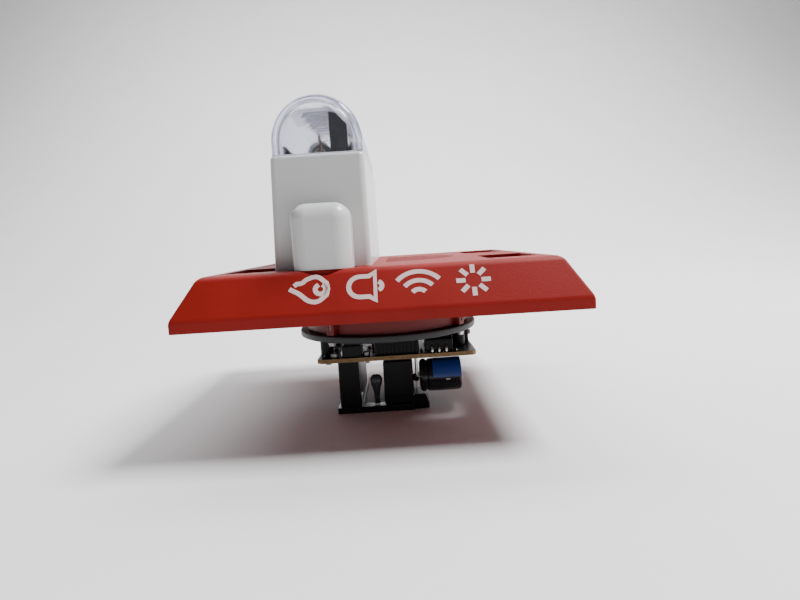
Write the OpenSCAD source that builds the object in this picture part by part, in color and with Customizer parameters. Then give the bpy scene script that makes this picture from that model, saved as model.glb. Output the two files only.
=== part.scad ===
// Wall sounder and strobe for a fire alarm circuit: square cover, light tower, horn and rear electronics.
// The origin is the centre of the cover's rim where it meets the wall, and +Z points out of the wall.

/* [Cover] */
// Width and height of the square cover
cover_w = 127; // [125:1:135]
// Height of the cover's face above the wall
cover_h = 16.1; // [15.5:0.1:18]
// Height of the upright lip round the rim
lip_h = 3.6; // [3:0.1:4]
// How far the sloping sides run in from the rim
bevel_run = 7.4; // [6.5:0.1:7.6]
// Thickness of the cover's sides
cover_wall = 2.2; // [1.8:0.1:2.4]
// Thickness of the cover's face
face_t = 2.5; // [2.2:0.1:2.8]
// Radius of the rounding round the face
face_edge_r = 2.2; // [1.5:0.1:2.4]

/* [Screw pockets] */
// Distance between the wall screws along X, the double-gang box size
screw_dx = 83.3; // [83:0.1:84]
// Distance between the wall screws along Y, the double-gang box size
screw_dy = 46; // [45.5:0.1:46.5]
// Width of each pocket along X
pocket_w = 16.3; // [15:0.1:16.5]
// Length of each pocket along Y
pocket_l = 27; // [24:1:28]
// Width of each wall screw slot
slot_w = 4.6; // [4:0.1:5]
// Length of each wall screw slot
slot_l = 8; // [6:0.5:9]

/* [Light tower] */
// Width of the tower where it meets the cover
tower_w = 32; // [31:0.5:33]
// Length of the tower where it meets the cover
tower_l = 87.5; // [86:0.5:88]
// Height of the tower's top above the wall
tower_top = 53; // [52:0.5:55]
// Outer radius of the lens arch
lens_r = 14.9; // [14.4:0.1:14.9]
// Wall thickness of the lens
lens_wall = 2; // [1.6:0.1:2]
// Diameter of the flash tube
tube_d = 3.6; // [3:0.1:3.8]

/* [Horn] */
// Outer radius of the horn barrel
barrel_r = 32.5; // [32:0.1:33]
// How far the barrel stands out behind the wall plane
barrel_drop = 9.3; // [9:0.1:10]
// Radius of the horn's back plate
plate_r = 35.5; // [35:0.1:36]
// Thickness of the horn's back plate
plate_t = 2.5; // [2:0.1:3]
// Radius of the diaphragm
diaphragm_r = 27; // [26:0.1:27]

/* [Boards] */
// Thickness of the main board
board_t = 1.6; // [1.2:0.1:1.6]
// Gap between the back plate and the main board
board_gap = 6.7; // [6.5:0.1:7]
// Diameter of the flash capacitor
capacitor_d = 12.5; // [10:0.5:12.5]
// Length of the flash capacitor
capacitor_l = 15.8; // [14:0.1:16]

/* [Terminals] */
// Distance from one wiring terminal to the next
pole_pitch = 9.6; // [8:0.1:10]
// Diameter of the terminal screws
clamp_screw_d = 2.9; // [2.4:0.1:2.9]

/* [Hidden] */
$fn = 64;
eps = 0.01;
hull_fn = 32;

// Cover
half_w = cover_w / 2;
corner_r = 1.6;
face_under = cover_h - face_t;
bevel_angle = atan2(cover_h - lip_h, bevel_run);
face_inset = bevel_run + face_edge_r * tan(bevel_angle / 2);
side_run = cover_wall / sin(bevel_angle);
inner_half = half_w - cover_wall;
inner_top_half = half_w - bevel_run * (face_under - lip_h) / (cover_h - lip_h) - side_run;
inner_lip_h = lip_h - (side_run - cover_wall) / tan(90 - bevel_angle);
pocket_x = 43.35;
pocket_y = 31;
pocket_wall = 1.6;
pocket_floor = 2.6;
pocket_floor_t = 2;
grille_r = 28.5;
grille_x0 = 1;
grille_slot = 1.3;
grille_pitch = 3.2;
grille_count = 15;

// Light tower
tower_x = -19;
tower_top_w = 30.6;
tower_top_l = 86.4;
tower_wall = 2;
tower_mid = -18.4;
tower_screw_x = [-30.5, -7.5];
tower_screw_y = 39.5;
tower_screw_d = 2.9;
bump_x = -17.85;
bump_w = 18.9;
bump_top = 36.8;
bump_y = 55;
bump_r = 3.8;
bump_seat = 14.3;
bump_seat_r = 10.6;
bump_seat_y = 47;
lead_hole = [-17, 33.4];
ledge_z = tower_top - 1.5;
gasket_t = 0.4;
lens_base = tower_top + gasket_t;
lens_mid_z = 57.5;
lens_half_l = 42.3;
trough_z = 50.1;
trough_f = 4.35;
trough_half_w = 10.8;
trough_half_l = 36.8;
trough_t = 0.9;
tube_z = trough_z + trough_f;
tube_half_l = 30;
cap_d = 4.2;
cap_l = 3;

// Horn
barrel_wall = 2.5;
boss_angles = [54, 144, 234, 324];
boss_from = 30.8;
boss_to = 34.9;
boss_half_w = 1.8;
boss_screw_at = 33.7;
boss_screw_d = 1.8;
ledge_top = 3.5;
diaphragm_t = 0.4;
diaphragm_z = 3.7;
core_r = 4;
core_top = 1.6;
coil_r = 10.5;
plate_top = -barrel_drop;
plate_under = plate_top - plate_t;

// Main board
board_top = plate_under - board_gap;
board_under = board_top - board_t;
board_x = [-26.5, 32.6];
board_y = 25;
standoff_at = [[-23.6, -16], [-23.6, 16], [27.5, -11], [26, 19]];
standoff_d = 5;
horn_lead_x = 6;
horn_lead_y = 14;
capacitor_at = [11.3, -18, -28.15];

// Wiring board and terminals
wiring_top = -38.6;
wiring_under = -41;
block_x = [-19.5, -11.7];
block_y = [-20, 22];
pole_x = -15.7;
pole_y = [for (i = [0:3]) 1 + (i - 1.5) * pole_pitch];
head_d = 4.6;
head_z = wiring_top + 0.2;
head_h = 1.6;
bar_z = -31.2;
bar_t = 1;
cage_w = 5.4;
cage_l = 5;
cage_floor = 1;
cage_side = 0.9;
cage_bottom = bar_z - 0.8 - cage_floor;
cage_top = -25.8;
lobe_top = -35.2;

function unit(v) = v / norm(v);
function tangent(p, i) = unit(p[min(i + 1, len(p) - 1)] - p[max(i - 1, 0)]);
function ring(p, i, r, n, ref) =
    let (t = tangent(p, i), u = unit(cross(t, ref)), v = cross(t, u))
    [for (k = [0:n - 1]) p[i] + r * cos(360 * k / n) * u + r * sin(360 * k / n) * v];
function arc_xy(r, a0, a1, z, steps) =
    [for (i = [0:steps]) let (a = a0 + (a1 - a0) * i / steps) [r * cos(a), r * sin(a), z]];
function wall_corners(x, y) = [[-x, -y], [-x, y], [x, -y], [x, y]];

// A round wire along a path. ref is a direction that the path never runs along.
module wire(path, d, ref, n = 8) {
    last = len(path) - 1;
    polyhedron(
        points = [for (i = [0:last]) each ring(path, i, d / 2, n, ref)],
        faces = concat(
            [[for (k = [0:n - 1]) k]],
            [for (i = [0:last - 1], k = [0:n - 1], half = [0, 1])
                let (a = i * n + k, b = i * n + (k + 1) % n)
                half == 0 ? [a, a + n, b + n] : [a, b + n, b]],
            [[for (k = [n - 1:-1:0]) last * n + k]]));
}

module box(x, y, z) {
    translate([x[0], y[0], z[0]])
        cube([x[1] - x[0], y[1] - y[0], z[1] - z[0]]);
}

module post(p, d, z) {
    translate([p[0], p[1], z[0]])
        cylinder(d = d, h = z[1] - z[0]);
}

// A slot with round ends along X, through z0 to z1
module slot(p, w, l, z) {
    run = (l - w) / 2;
    box([p[0] - run, p[0] + run], [p[1] - w / 2, p[1] + w / 2], z);
    post([p[0] - run, p[1]], w, z);
    post([p[0] + run, p[1]], w, z);
}

module pan_screw(p, d, head, head_t, seat, tip, recess = 0.9) {
    up = tip > seat ? 1 : -1;
    translate([p[0], p[1], seat])
        mirror([0, 0, up > 0 ? 0 : 1]) {
            cylinder(d = d, h = abs(tip - seat));
            difference() {
                translate([0, 0, -head_t])
                    cylinder(d1 = head * 0.8, d2 = head, h = head_t);
                for (a = [0, 90])
                    rotate(a)
                        translate([-head * 0.3, -0.35, -head_t - eps])
                            cube([head * 0.6, 0.7, recess]);
            }
        }
}

module cover_blank() {
    hull() {
        for (p = wall_corners(half_w - corner_r, half_w - corner_r))
            translate([p[0], p[1], 0])
                cylinder(r = corner_r, h = lip_h, $fn = hull_fn);
        for (p = wall_corners(half_w - face_inset, half_w - face_inset))
            translate([p[0], p[1], cover_h - face_edge_r])
                sphere(r = face_edge_r, $fn = hull_fn);
    }
}

module cover_hollow() {
    hull() {
        box([-inner_half, inner_half], [-inner_half, inner_half], [-1, inner_lip_h]);
        box([-inner_top_half, inner_top_half], [-inner_top_half, inner_top_half],
            [face_under - eps, face_under]);
    }
}

module pocket_blocks(grow, z) {
    w = pocket_w / 2 + grow;
    l = pocket_l / 2 + grow;
    for (p = wall_corners(pocket_x, pocket_y))
        box([p[0] - w, p[0] + w], [p[1] - l, p[1] + l], z);
}

module grille_slots() {
    intersection() {
        translate([0, 0, face_under - 1])
            cylinder(r = grille_r, h = face_t + 2);
        for (i = [0:grille_count - 1])
            translate([
                grille_x0,
                (i - (grille_count - 1) / 2) * grille_pitch - grille_slot / 2,
                face_under - 1
            ])
                cube([grille_r, grille_slot, face_t + 2]);
    }
}

module cover() {
    color("#b3312c")
        difference() {
            union() {
                difference() {
                    cover_blank();
                    cover_hollow();
                }
                pocket_blocks(pocket_wall, [pocket_floor - pocket_floor_t, face_under + 1]);
            }
            pocket_blocks(0, [pocket_floor, cover_h + 1]);
            for (p = wall_corners(screw_dx / 2, screw_dy / 2))
                slot(p, slot_w, slot_l, [-1, cover_h]);
            grille_slots();
            for (x = tower_screw_x, y = [-tower_screw_y, tower_screw_y])
                post([x, y], tower_screw_d + 0.4, [face_under - 1, cover_h + 1]);
            post(lead_hole, 6, [face_under - 1, cover_h + 1]);
            for (s = [-1, 1])
                post([bump_x, s * bump_seat_y], bump_seat_r * 2, [bump_seat, cover_h + 1]);
        }
}

module horn_barrel() {
    color("#a02a26")
        difference() {
            union() {
                post([0, 0], barrel_r * 2, [plate_top, face_under]);
                for (a = boss_angles)
                    rotate(a)
                        box([boss_from, boss_to], [-boss_half_w, boss_half_w], [plate_top, 1.5]);
            }
            post([0, 0], (barrel_r - barrel_wall) * 2, [ledge_top, face_under + 1]);
            post([0, 0], (barrel_r - barrel_wall - 1.5) * 2, [plate_top - 1, ledge_top + 1]);
            for (a = boss_angles)
                rotate(a)
                    post([boss_screw_at, 0], boss_screw_d, [plate_top - 1, plate_top + 7]);
        }
}

module tower_shell(grow, top) {
    r = max(2 + grow, 0.8);
    top_r = 0.8;
    hull() {
        for (p = wall_corners(tower_w / 2 + grow - r, tower_l / 2 + grow - r))
            translate([tower_x + p[0], p[1], cover_h])
                cylinder(r = r, h = 0.1, $fn = hull_fn);
        for (p = wall_corners(tower_top_w / 2 + grow - top_r, tower_top_l / 2 + grow - top_r))
            translate([tower_mid + p[0], p[1], top - top_r])
                sphere(r = top_r, $fn = hull_fn);
    }
}

module bump_shell(side, grow, seat) {
    r = bump_r + grow;
    x = bump_w / 2 - bump_r;
    y = bump_y - bump_r;
    hull()
        for (dx = [-x, x]) {
            translate([bump_x + dx, side * y, seat])
                cylinder(r = r, h = 1, $fn = hull_fn);
            translate([bump_x + dx, side * y, bump_top - bump_r])
                sphere(r = r, $fn = hull_fn);
            translate([bump_x + dx, side * (tower_l / 2 - 4), seat])
                cylinder(r = r, h = 1, $fn = hull_fn);
            translate([bump_x + dx, side * (tower_l / 2 - 4), bump_top - bump_r])
                sphere(r = r, $fn = hull_fn);
        }
}

module strobe_housing() {
    lip = [tower_mid - 12.9, tower_mid + 12.9];
    color("#ecebe6")
        difference() {
            union() {
                tower_shell(0, tower_top);
                for (s = [-1, 1])
                    intersection() {
                        bump_shell(s, 0, cover_h);
                        box([-40, 0], [s > 0 ? 0 : -60, s > 0 ? 60 : 0], [cover_h, tower_top]);
                    }
            }
            difference() {
                tower_shell(-tower_wall, ledge_z - 2);
                for (x = tower_screw_x, y = [-tower_screw_y, tower_screw_y])
                    post([x, y], 6.4, [cover_h - 1, cover_h + 11]);
            }
            for (s = [-1, 1])
                bump_shell(s, -tower_wall, cover_h - 1);
            box([tower_x - 12, tower_x + 12], [-36, 36], [cover_h - 1, cover_h + 2]);
            box([lip[0] + 1.8, lip[1] - 1.8], [-39.2, 39.2], [ledge_z - 3, tower_top]);
            box(lip, [-41, 41], [ledge_z, tower_top + 1]);
            for (x = tower_screw_x, y = [-tower_screw_y, tower_screw_y])
                post([x, y], 2.4, [cover_h - 1, cover_h + 9]);
        }
}

module housing_screws() {
    color("silver")
        for (x = tower_screw_x, y = [-tower_screw_y, tower_screw_y])
            pan_screw([x, y], 2.4, 5, 1.6, face_under, cover_h + 8.5);
}

module lens_block(r, half_l, z0) {
    translate([tower_mid, 0, lens_mid_z])
        rotate([90, 0, 0])
            cylinder(r = r, h = half_l * 2, center = true);
    box([tower_mid - r, tower_mid + r], [-half_l, half_l], [z0, lens_mid_z]);
}

// The arch with its two ends rounded over in three steps
module lens_shape(grow, z0) {
    intersection() {
        hull() {
            lens_block(lens_r + grow, lens_half_l - 3 + grow, z0);
            lens_block(lens_r - 0.9 + grow, lens_half_l - 0.9 + grow, z0);
            lens_block(lens_r - 3 + grow, lens_half_l + grow, z0);
        }
        box([-60, 30], [-60, 60], [z0, 90]);
    }
}

module lens_gasket() {
    x = lens_r - 0.3;
    y = lens_half_l - 0.3;
    w = 1.2;
    color("#d9d9d4")
        difference() {
            box([tower_mid - x, tower_mid + x], [-y, y], [tower_top, lens_base]);
            box([tower_mid - x + w, tower_mid + x - w], [-y + w, y - w], [tower_top - 1, lens_base + 1]);
        }
}

module strobe_lens() {
    color([0.8, 0.82, 0.92, 0.4])
        difference() {
            lens_shape(0, lens_base);
            lens_shape(-lens_wall, lens_base - 1);
        }
}

module strobe_reflector() {
    steps = 24;
    xs = [for (i = [0:steps]) trough_half_w * (2 * i / steps - 1)];
    over = [for (x = xs) [x, trough_z + x * x / (4 * trough_f)]];
    under = [for (i = [steps:-1:0]) over[i] - [0, trough_t]];
    rim_z = trough_z + trough_half_w * trough_half_w / (4 * trough_f);
    color("#d8d8de")
        difference() {
            union() {
                translate([tower_mid, trough_half_l, 0])
                    rotate([90, 0, 0])
                        linear_extrude(height = trough_half_l * 2) {
                            polygon(concat(over, under));
                            for (s = [-1, 1])
                                translate([s * (trough_half_w + trough_t / 2) - trough_t / 2, ledge_z])
                                    square([trough_t, rim_z - ledge_z]);
                        }
                difference() {
                    box([tower_mid - 12.6, tower_mid + 12.6], [-40.7, 40.7], [ledge_z, ledge_z + 0.8]);
                    box([tower_mid - trough_half_w, tower_mid + trough_half_w],
                        [-trough_half_l, trough_half_l], [ledge_z - 1, ledge_z + 2]);
                }
            }
            for (s = [-1, 1])
                post([tower_mid, s * (tube_half_l + cap_l + 1.5)], 2, [trough_z - 2, tube_z]);
        }
}

module along_tube(y, d, l) {
    translate([tower_mid, y, tube_z])
        rotate([-90, 0, 0])
            cylinder(d = d, h = l);
}

module flash_tube() {
    color([0.85, 0.88, 0.9, 0.5])
        difference() {
            along_tube(-tube_half_l, tube_d, tube_half_l * 2);
            along_tube(-tube_half_l + 1.5, tube_d - 1.2, tube_half_l * 2 - 3);
        }
}

module tube_caps() {
    color("#8a8580")
        for (y = [-tube_half_l - cap_l, tube_half_l])
            along_tube(y, cap_d, cap_l);
}

module trigger_wire() {
    turns = 7;
    r = tube_d / 2 + 0.35;
    path = [for (i = [0:turns * 10])
        [tower_mid + r * cos(36 * i), -20 + 40 * i / (turns * 10), tube_z + r * sin(36 * i)]];
    color("#c9ccd0")
        wire(path, 0.4, [0, 1, 0], 4);
}

module tube_holders() {
    color("#55565a")
        for (y = [-tube_half_l - 2.2, tube_half_l + 0.8])
            difference() {
                along_tube(y, 8.4, 1.4);
                along_tube(y - 1, cap_d, 3.4);
            }
}

module tube_leads() {
    start = tube_half_l + cap_l;
    bend = 1.5;
    color("#7d6450")
        for (s = [-1, 1])
            wire(concat(
                [for (a = [0:15:90])
                    [tower_mid, s * (start + bend * sin(a)), tube_z - bend + bend * cos(a)]],
                [[tower_mid, s * (start + bend), 46]]),
                1, [1, 0, 0]);
    // The front lead has a solder tag that stands up
    color("#7d6450")
        post([tower_mid + 0.4, -start - bend], 1.2, [tube_z - bend, 60.2]);
}

module light_baffle() {
    color("#202226")
        translate([tower_mid, -trough_half_l - 0.4, 0])
            rotate([90, 0, 0])
                linear_extrude(height = 1)
                    polygon([
                        [4.2, ledge_z + 0.8], [10.1, ledge_z + 0.8], [10.1, 62.6],
                        [6.5, 66.6], [4.2, 67]
                    ]);
}

module diaphragm_surround() {
    color("#2b2b2b")
        difference() {
            post([0, 0], (barrel_r - barrel_wall) * 2, [ledge_top, ledge_top + 0.8]);
            post([0, 0], (diaphragm_r + 0.3) * 2, [0, 10]);
        }
}

module horn_diaphragm() {
    color("#b9b9b4")
        rotate_extrude()
            polygon([[0, core_top + 0.6], [core_r + 2, core_top + 0.6], [core_r + 2, diaphragm_z],
                [14, diaphragm_z], [17, diaphragm_z + 1.5], [20, diaphragm_z], [diaphragm_r, diaphragm_z],
                [diaphragm_r, diaphragm_z + diaphragm_t], [20, diaphragm_z + diaphragm_t],
                [17, diaphragm_z + 1.5 + diaphragm_t], [14, diaphragm_z + diaphragm_t],
                [0, diaphragm_z + diaphragm_t]]);
}

module horn_core() {
    color("#6e6e70")
        post([0, 0], core_r * 2, [plate_top, core_top]);
}

module horn_bobbin() {
    color("#3a3a3c")
        difference() {
            union() {
                post([0, 0], coil_r * 2 + 2, [plate_top, plate_top + 1]);
                post([0, 0], core_r * 2 + 2, [plate_top, 0.6]);
                post([0, 0], coil_r * 2 + 2, [-0.4, 0.6]);
            }
            post([0, 0], core_r * 2, [plate_top - 1, 2]);
        }
}

module horn_coil() {
    color("#b5622c")
        difference() {
            post([0, 0], coil_r * 2, [plate_top + 1, -0.4]);
            post([0, 0], core_r * 2 + 2, [plate_top, 0]);
        }
}

module horn_leads() {
    color("#b3262a")
        for (x = [-horn_lead_x, horn_lead_x])
            post([x, -horn_lead_y], 1, [board_top, plate_top + 2]);
}

module horn_back_plate() {
    color("#74777b")
        difference() {
            post([0, 0], plate_r * 2, [plate_under, plate_top]);
            for (a = boss_angles)
                rotate(a)
                    post([boss_screw_at, 0], boss_screw_d + 0.2, [plate_under - 1, plate_top + 1]);
            for (x = [-horn_lead_x, horn_lead_x])
                post([x, -horn_lead_y], 1.8, [plate_under - 1, plate_top + 1]);
            for (p = standoff_at)
                post(p, 2.2, [plate_under - 1, plate_top + 1]);
        }
}

module plate_screws() {
    color("silver")
        for (a = boss_angles)
            rotate(a)
                pan_screw([boss_screw_at, 0], boss_screw_d, 3.2, 1.2, plate_under, plate_top + 6);
}

module board_standoffs() {
    color("#1b1c1e")
        for (p = standoff_at)
            difference() {
                post(p, standoff_d, [board_top, plate_under]);
                post(p, 2.2, [board_top - 1, plate_under + 1]);
            }
}

module board_screws() {
    color("silver")
        for (p = standoff_at)
            pan_screw(p, 2.1, 4.2, 1.4, board_under, plate_top);
}

module main_board() {
    chamfer = 1.4;
    color("#1d2a20")
        difference() {
            translate([0, 0, board_under])
                linear_extrude(height = board_t)
                    polygon([for (c = [[0, -1], [1, -1], [1, 1], [0, 1]], e = [0, 1])
                        let (sx = c[0] * 2 - 1, first = c[0] == (c[1] > 0 ? 1 : 0) ? e : 1 - e)
                        [board_x[c[0]] - sx * chamfer * first, c[1] * (board_y - chamfer * (1 - first))]]);
            for (p = standoff_at)
                post(p, 2.4, [board_under - 1, board_top + 1]);
        }
}

module trigger_transformer() {
    color("#232323")
        box([-17, -10], [-24, -14], [board_top, board_top + 5.4]);
}

module board_header() {
    color("#1c1c1e")
        difference() {
            box([-5, 11.5], [-23.6, -18.4], [board_top, board_top + 5.6]);
            for (i = [0:5])
                box([-4.2 + i * 2.6, -2.6 + i * 2.6], [-24, -22.8], [board_top + 0.8, board_top + 6]);
        }
}

module switching_transistor() {
    tab = [13.8, 24.2];
    color("#9a9c9e") {
        box(tab, [-14, -7.4], [board_top + 0.4, board_top + 1.7]);
        for (x = [16.4, 19, 21.6])
            box([x - 0.4, x + 0.4], [-24.4, -22.8], [board_top, board_top + 2.4]);
    }
    color("#1b1b1b")
        difference() {
            box(tab, [-22.8, -14], [board_top + 0.4, board_top + 4.8]);
            box([10, 30], [-15, -13], [board_top + 3.6, board_top + 6]);
        }
}

module control_chip() {
    color("#161616") {
        box([2, 12], [2, 8], [board_top + 0.2, board_top + 1.9]);
        for (i = [0:7])
            for (y = [[1, 2], [8, 9]])
                box([2.3 + i * 1.27, 2.7 + i * 1.27], y, [board_top, board_top + 0.9]);
    }
}

module lead_connector() {
    color("#17181a")
        box([26.6, 32.2], [21.4, 24.2], [board_top, board_top + 5.8]);
}

module strobe_leads() {
    color("#2a2a2c")
        for (i = [0, 1]) {
            z = 6.6 + i * 1.8;
            r = 37.6;
            a0 = 37 - i * 2.6;
            foot = [r * cos(a0), r * sin(a0)];
            plug_top = board_top + 5.8;
            start = [for (s = [0:3]) [foot[0], foot[1], plug_top + (z - 2 - plug_top) * s / 3]];
            hole_y = lead_hole[1] - 1 + i * 2;
            finish = [for (up = [face_under - 1 - i, cover_h + 6, 40]) [lead_hole[0], hole_y, up]];
            wire(concat(start, arc_xy(r, a0 + 4, 112 - i * 2, z, 14), finish), 1.3, [0.5, 0.87, 0]);
        }
}

module selector_body() {
    color("#141416")
        difference() {
            box([27.8, 32.4], [-4, 6.4], [board_top, board_top + 5.4]);
            box([30.4, 33], [-2.2, 4.6], [board_top + 1.6, board_top + 3.8]);
        }
}

module selector_slider() {
    color("#7a5230")
        box([30.6, 33.8], [-0.1, 2.5], [board_top + 1.8, board_top + 3.6]);
}

module small_parts() {
    color("#b79a6a")
        for (i = [0:5]) {
            box([-22 + i * 4.4, -20 + i * 4.4], [-8 + (i % 3) * 5, -6.8 + (i % 3) * 5],
                [board_top, board_top + 0.8]);
            box([-21 + i * 7, -19 + i * 7], [22.8, 24], [board_under - 0.8, board_under]);
        }
}

module strobe_capacitor() {
    r = capacitor_d / 2;
    edge = 1.4;
    color("#1a1b1f")
        translate(capacitor_at)
            rotate([0, 90, 0])
                rotate_extrude() {
                    square([r - edge, capacitor_l]);
                    translate([0, 0.8])
                        square([r, capacitor_l - edge - 0.8]);
                    translate([r - edge, capacitor_l - edge])
                        circle(r = edge);
                }
}

module capacitor_label() {
    r = capacitor_d / 2;
    color("#1f4fae")
        translate(capacitor_at)
            rotate([150, 0, 0])
                rotate([0, 90, 0])
                    rotate_extrude(angle = 118)
                        translate([r, 4.9])
                            square([0.12, capacitor_l - 6.5]);
}

module capacitor_leads() {
    color("silver")
        for (y = [-2.5, 2.5])
            wire([[capacitor_at[0], capacitor_at[1] + y, capacitor_at[2]],
                [capacitor_at[0] - 0.5, capacitor_at[1] + y, capacitor_at[2]],
                [capacitor_at[0] - 1, capacitor_at[1] + y, capacitor_at[2] + 0.5],
                [capacitor_at[0] - 1, capacitor_at[1] + y, board_under]],
                0.7, [0, 1, 0]);
}

module potted_transformer() {
    color("#121214")
        box([-2.5, 8.8], [-20, 14], [wiring_top, board_under - 1.6]);
}

module transformer_pins() {
    color("silver")
        for (x = [-0.6, 6.9], y = [-17, -3, 11])
            post([x, y], 0.9, [board_under - 1.6, board_under]);
}

module dipped_capacitor() {
    at = [-5.5, -17.8];
    color("#33373c")
        translate([at[0], at[1], 0])
            rotate_extrude()
                polygon(concat([[0, -34.4], [1.2, -34.2]],
                    [for (a = [-40:10:80]) [2.3 * cos(a), -29.4 + 2.6 * sin(a)]],
                    [[0, -26.8]]));
    color("#8f9092")
        for (x = [-0.55, 0.55])
            post([at[0] + x, at[1]], 0.6, [wiring_top, -34.3]);
}

module upright_diode() {
    at = [10.05, -12];
    color("#232427")
        post(at, 2.4, [-31.8, -29]);
    color("silver") {
        post(at, 0.7, [lobe_top, -31.8]);
        post(at, 0.7, [-29, board_under]);
    }
}

module wiring_board() {
    color("#101114")
        difference() {
            union() {
                box([-20.6, -10.9], [-20.6, 22.6], [wiring_under, wiring_top]);
                box([-20.6, 8.9], [-20.6, -15.5], [wiring_under, wiring_top]);
                box([-2.6, 8.9], [-20.6, 14.4], [wiring_under, wiring_top]);
            }
            for (y = pole_y)
                post([pole_x, y], 3.8, [wiring_under - 1, wiring_top + 1]);
        }
}

module link_header() {
    color("#15161a")
        translate([0, -10, 0])
            rotate([90, 0, 0])
                linear_extrude(height = 9.4)
                    polygon([
                        [8.9, wiring_under], [14.4, wiring_under], [14.4, -38.8],
                        [13.2, lobe_top], [8.9, lobe_top]
                    ]);
}

module terminal_block() {
    cavity_top = cage_top + 0.3;
    color("#0f1012")
        difference() {
            box(block_x, block_y, [wiring_top, board_under]);
            for (y = pole_y) {
                post([pole_x, y], head_d + 0.3, [wiring_top - 1, wiring_top + 2.6]);
                box([pole_x - 2.8, pole_x + 2.8], [y - 3, y + 3], [wiring_top + 2.4, cavity_top]);
                box([block_x[0] - 1, pole_x], [y - 2.3, y + 2.3], [bar_z - 0.2, cage_top - 0.8]);
                box([pole_x, pole_x + 3.6], [y - 1.8, y + 1.8], [bar_z - 0.1, bar_z + bar_t + 0.1]);
                box([pole_x + 2.7, pole_x + 3.6], [y - 1.8, y + 1.8], [bar_z, board_under + 1]);
            }
        }
}

module current_bars() {
    color("#c9a54a")
        for (y = pole_y) {
            box([pole_x - 2.4, pole_x + 3.5], [y - 1.6, y + 1.6], [bar_z, bar_z + bar_t]);
            box([pole_x + 2.9, pole_x + 3.5], [y - 1.6, y + 1.6], [bar_z, board_under]);
        }
}

module terminal_screw(i) {
    color("silver")
        translate([pole_x, pole_y[i - 1], 0])
            difference() {
                union() {
                    translate([0, 0, head_z])
                        cylinder(d = head_d, h = head_h);
                    translate([0, 0, head_z])
                        cylinder(d = clamp_screw_d, h = bar_z - 0.2 - head_z);
                }
                translate([-head_d, -0.4, head_z - eps])
                    cube([head_d * 2, 0.8, 0.9]);
            }
}

module clamp_cage(i) {
    y = pole_y[i - 1];
    color("#b8bbbd")
        difference() {
            box([pole_x - cage_l / 2, pole_x + cage_l / 2], [y - cage_w / 2, y + cage_w / 2],
                [cage_bottom, cage_top]);
            box([pole_x - cage_l, pole_x + cage_l],
                [y - cage_w / 2 + cage_side, y + cage_w / 2 - cage_side],
                [cage_bottom + cage_floor, cage_top - 1.2]);
            post([pole_x, y], clamp_screw_d + 0.15, [cage_bottom - 1, cage_bottom + cage_floor + 1]);
        }
}

cover();
horn_barrel();
strobe_housing();
housing_screws();
lens_gasket();
strobe_lens();
strobe_reflector();
flash_tube();
tube_caps();
trigger_wire();
tube_holders();
tube_leads();
light_baffle();
diaphragm_surround();
horn_diaphragm();
horn_core();
horn_bobbin();
horn_coil();
horn_leads();
horn_back_plate();
plate_screws();
board_standoffs();
board_screws();
main_board();
trigger_transformer();
board_header();
switching_transistor();
control_chip();
lead_connector();
strobe_leads();
selector_body();
selector_slider();
small_parts();
strobe_capacitor();
capacitor_label();
capacitor_leads();
potted_transformer();
transformer_pins();
dipped_capacitor();
upright_diode();
wiring_board();
link_header();
terminal_block();
current_bars();
terminal_screw(1);  // terminal_screw_1
terminal_screw(2);  // terminal_screw_2
terminal_screw(3);  // terminal_screw_3
terminal_screw(4);  // terminal_screw_4
clamp_cage(1);  // clamp_cage_1
clamp_cage(2);  // clamp_cage_2
clamp_cage(3);  // clamp_cage_3
clamp_cage(4);  // clamp_cage_4
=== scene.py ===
"""Looks of a wall fire alarm horn strobe: red cover, white light tower, clear lens, horn and boards behind.

Sizes are in millimetres in the CAD frame, and turn into metres where a piece is finished.
"""

import math

import bmesh
import bpy
from mathutils import Matrix, Vector


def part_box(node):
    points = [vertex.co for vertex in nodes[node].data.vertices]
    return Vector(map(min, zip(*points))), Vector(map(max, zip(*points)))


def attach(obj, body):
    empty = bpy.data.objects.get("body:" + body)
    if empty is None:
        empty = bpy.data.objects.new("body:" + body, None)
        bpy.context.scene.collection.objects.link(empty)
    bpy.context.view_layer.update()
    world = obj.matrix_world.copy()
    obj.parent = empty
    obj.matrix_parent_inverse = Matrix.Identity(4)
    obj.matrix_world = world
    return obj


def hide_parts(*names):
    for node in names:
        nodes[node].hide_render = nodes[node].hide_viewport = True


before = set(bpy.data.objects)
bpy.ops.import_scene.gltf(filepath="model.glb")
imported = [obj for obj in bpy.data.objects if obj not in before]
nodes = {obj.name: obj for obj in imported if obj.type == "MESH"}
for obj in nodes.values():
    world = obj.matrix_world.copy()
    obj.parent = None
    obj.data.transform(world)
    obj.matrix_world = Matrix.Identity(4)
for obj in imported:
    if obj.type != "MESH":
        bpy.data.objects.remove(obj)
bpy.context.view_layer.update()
MM = 0.001
ROOT = "housing"


def node_box(node):
    """Lowest and highest corner of a CAD node, in millimetres."""
    low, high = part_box(node)
    return low / MM, high / MM


# ---- materials


def fill_in(tree, node, values):
    """A value sets the input of that name, or else a setting. A socket is linked to the input."""
    for key, value in values.items():
        name = key.replace("_", " ")
        if isinstance(value, bpy.types.NodeSocket):
            tree.links.new(value, node.inputs[name])
        elif name in node.inputs:
            node.inputs[name].default_value = value
        else:
            setattr(node, key, value)
    return node


def new_material(name, **values):
    made = bpy.data.materials.new(name)
    made.use_nodes = True
    tree = made.node_tree
    return made, tree, fill_in(tree, tree.nodes["Principled BSDF"], values)


def add_node(tree, kind, **values):
    return fill_in(tree, tree.nodes.new("ShaderNode" + kind), values)


def noise(tree, size_mm, detail=3.0):
    """Noise in the CAD frame whose lumps are about size_mm across."""
    place = add_node(tree, "TexCoord").outputs["Object"]
    made = add_node(tree, "TexNoise", Vector=place, Scale=1.0 / (size_mm * MM), Detail=detail)
    return made.outputs["Fac"]


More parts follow.
